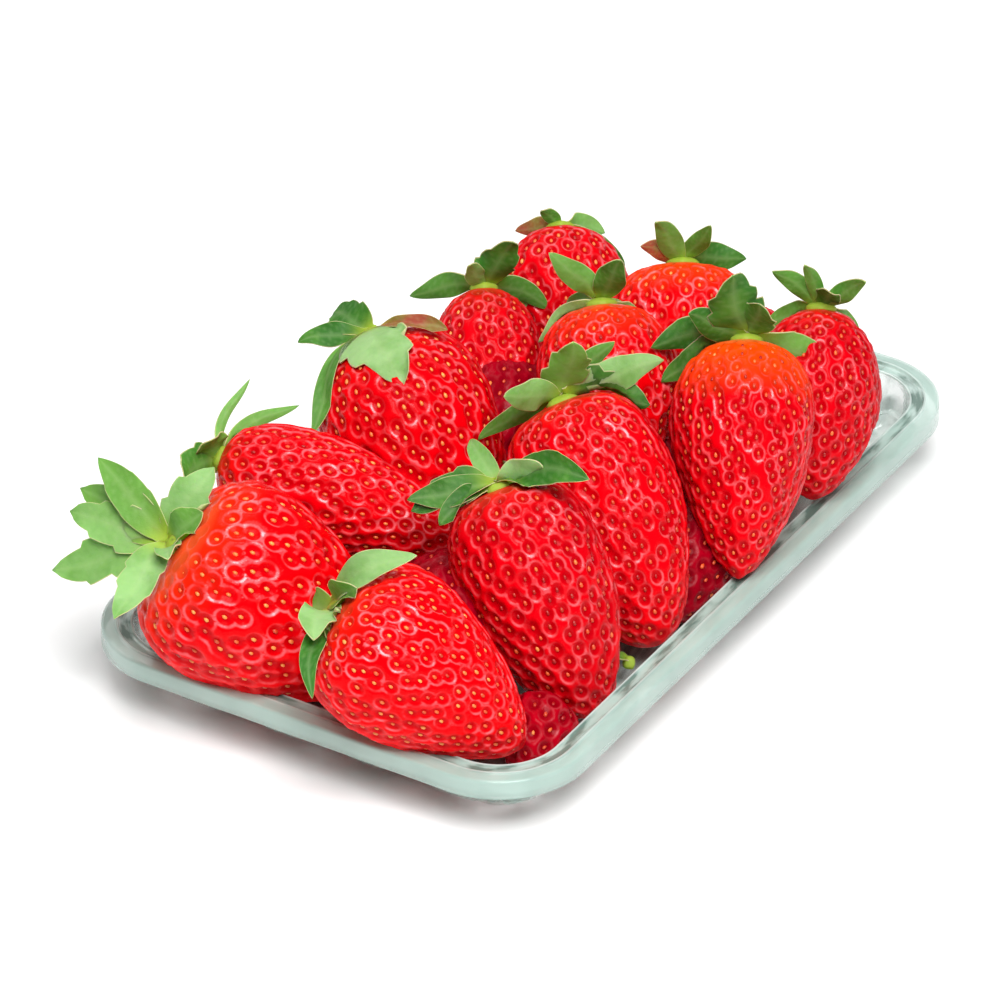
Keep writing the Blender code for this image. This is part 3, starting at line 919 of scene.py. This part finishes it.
def leaf_material():
    """Matt green that lets light through, blotched, with pale veins, a yellow-green hub and a tan edge; the
    green of each leaf is partly its own and partly painted light and shade.
    """
    material, tree, shader = new_material("leaf_green")
    # Painted light and shade: tone runs from the pale green of lit leaves to the dark green of shaded ones,
    # then russet.
    colour = ramp(tree, attribute(tree, "tone"), (
        (0.0, LIT_PALE_GREEN), (0.45, MIDDLE_GREEN), (0.85, SHADED_DARK_GREEN), (0.90, SHADED_DARK_GREEN), (1.0, RUSSET)))
    colour = mix(tree, ramp(tree, noise(tree, 160), ((0.45, 0), (0.70, 0.6))), colour, BLOTCH_GREEN)
    layers = (("vein", 0.16, VEIN_GREEN), ("hub", 0.75, HUB_GREEN), ("rim", 0.7, RIM_TAN))
    for look, strength, layer in layers:
        colour = mix(tree, times(tree, attribute(tree, look), strength), colour, layer)
    feed(tree, shader.inputs["Base Color"], colour)
    feed(tree, shader.inputs["Roughness"], 0.62)
    feed(tree, shader.inputs["Specular IOR Level"], 0.3)
    feed(tree, shader.inputs["Subsurface Weight"], 0.5)
    feed(tree, shader.inputs["Subsurface Scale"], 1.0 * MM)
    shader.inputs["Subsurface Radius"].default_value = (0.5, 1.0, 0.2)
    bump(tree, shader, noise(tree, 700), 0.3)
    return material


# The sheet's tint, its painted shade and its painted glint.
PLASTIC_TINT = (0.52, 0.70, 0.63)
SHADE_STREAK_TINT = (0.12, 0.20, 0.165)
GLINT_TINT = (0.92, 0.97, 0.95)


def plastic_material():
    """Glossy clear sheet with a green tint: painted shade broken into streaks, painted glints on the beads,
    and denser in the rim.
    """
    material, tree, shader = new_material("clear_plastic_sheet")
    lie = tree.nodes.new("ShaderNodeCombineXYZ")
    tree.links.new(attribute(tree, "run"), lie.inputs["X"])
    tree.links.new(attribute(tree, "inset"), lie.inputs["Y"])
    # Painted shade, broken into streaks, and painted glints on the beads.
    shade_streaks = ramp(tree, noise(tree, 1.0, 4.0, lie.outputs["Vector"]), ((0.44, 0), (0.58, 1)))
    dark = times(tree, attribute(tree, "dark"), shade_streaks)
    light = attribute(tree, "light")
    tinted = mix(tree, light, mix(tree, dark, PLASTIC_TINT, SHADE_STREAK_TINT), GLINT_TINT)
    feed(tree, shader.inputs["Base Color"], tinted)
    # The sheet is also less clear where painted shade and glints lie, and in the rim.
    alpha = 0.17
    for shade, strength in ((dark, 0.30), (light, 0.4), (attribute(tree, "milky"), 0.30)):
        alpha = calculate(tree, "ADD", times(tree, shade, strength), alpha)
    feed(tree, shader.inputs["Alpha"], alpha)
    feed(tree, shader.inputs["Roughness"], 0.07)
    feed(tree, shader.inputs["Specular IOR Level"], 0.8)
    return material


# ---------------------------------------------------------------- build

leaf_green = leaf_material()
groups = []
for variant, (name, berry) in enumerate(TOP.items()):
    groups.append(make_body(name, berry, variant, *TOP_GRID))
    make_cap(name, berry, leaf_green)
for variant, (name, place) in enumerate(LOWER.items()):
    berry = {**LOWER_LOOK, **place}
    groups.append(make_body(name, berry, variant, *LOWER_GRID))
    if berry["leaves"]:
        make_cap(name, berry, leaf_green)
for name, place in SCRAPS.items():
    make_cap(name, {**SCRAP_LOOK, **place}, leaf_green)
make_seeds(groups)
make_tray()

# ---------------------------------------------------------------- stage, light and camera

FLOOR_REACH = 3.0
# Just below the ground, so that no piece touches it.
FLOOR_DROP = 0.0004
CAMERA_TURN = math.radians(-58.656)
CAMERA_RISE = math.radians(33.139)
CAMERA_RANGE = 1.3
LENS = 226.7
# How far the picture is moved sideways and up, in widths of it.
LENS_SHIFT = (-0.0316, 0.0045)


def make_floor():
    corners = [(x * FLOOR_REACH, y * FLOOR_REACH, 0) for x, y in ((-1, -1), (1, -1), (1, 1), (-1, 1))]
    mesh = bpy.data.meshes.new("floor")
    mesh.from_pydata(corners, [], [(0, 1, 2, 3)])
    floor = bpy.data.objects.new("floor", mesh)
    bpy.context.scene.collection.objects.link(floor)
    floor.location.z = -FLOOR_DROP
    material, tree, shader = new_material("floor_white")
    feed(tree, shader.inputs["Base Color"], (0.93, 0.93, 0.93))
    feed(tree, shader.inputs["Roughness"], 0.9)
    floor.data.materials.append(material)


def light_world(strength):
    world = bpy.data.worlds.new("studio")
    bpy.context.scene.world = world
    world.use_nodes = True
    background = world.node_tree.nodes["Background"]
    background.inputs["Color"].default_value = (1.0, 1.0, 1.0, 1.0)
    background.inputs["Strength"].default_value = strength


def area_light(name, place, aim, size, power):
    """A square lamp: metres, and watts."""
    lamp = bpy.data.lights.new(name, "AREA")
    lamp.size = size
    lamp.energy = power
    light = bpy.data.objects.new(name, lamp)
    light.location = place
    light.rotation_euler = (Vector(aim) - Vector(place)).to_track_quat("-Z", "Y").to_euler()
    bpy.context.scene.collection.objects.link(light)


def make_camera():
    """The photo's view, aimed at the middle of the rim."""
    level = math.cos(CAMERA_RISE)
    sideways, back = math.sin(CAMERA_TURN), -math.cos(CAMERA_TURN)
    away = Vector((sideways * level, back * level, math.sin(CAMERA_RISE)))
    optics = bpy.data.cameras.new("camera")
    optics.lens = LENS
    optics.shift_x, optics.shift_y = LENS_SHIFT
    camera = bpy.data.objects.new("camera", optics)
    camera.location = Vector((0, 0, TRAY_HEIGHT)) + away * CAMERA_RANGE
    camera.rotation_euler = away.to_track_quat("Z", "Y").to_euler()
    bpy.context.scene.collection.objects.link(camera)
    bpy.context.scene.camera = camera


make_floor()
light_world(strength=0.17)
area_light("key", place=(-0.42, -0.38, 0.95), aim=(0, 0, 0.03), size=0.62, power=17.5)
area_light("fill", place=(0.55, 0.85, 1.50), aim=(0.30, 0.45, 0.0), size=1.2, power=11.0)
make_camera()
bpy.context.scene.view_settings.view_transform = "Standard"
